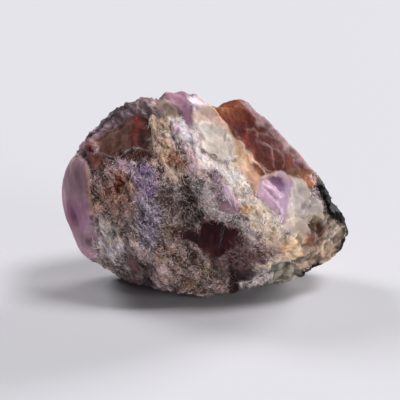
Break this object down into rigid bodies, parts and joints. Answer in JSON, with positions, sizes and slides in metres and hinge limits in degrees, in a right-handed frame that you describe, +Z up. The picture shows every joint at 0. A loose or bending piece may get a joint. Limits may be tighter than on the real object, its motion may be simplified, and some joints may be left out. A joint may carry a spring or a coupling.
{
  "type": "rough sapphire",
  "caption": "Chipped hand specimen of rough purple sapphire grown in mica rock with red-brown garnet and pale feldspar, flat where it rests.",
  "frame": {"origin": "on the resting surface, at the centre of the bounding box in X and Y", "axes": "+Z up, +X along the stone's length towards its dark pointed tip, -Y towards the face with the most crystals"},
  "size_m": [0.0424, 0.0306, 0.0301],
  "materials": {
    "rock": "broken mica rock, matt and sparkling, with glassy red-brown garnet, lilac sapphire and cream feldspar set in it"
  },
  "bodies": {
    "root": {"rough_sapphire": "rock"}
  },
  "joints": []
}
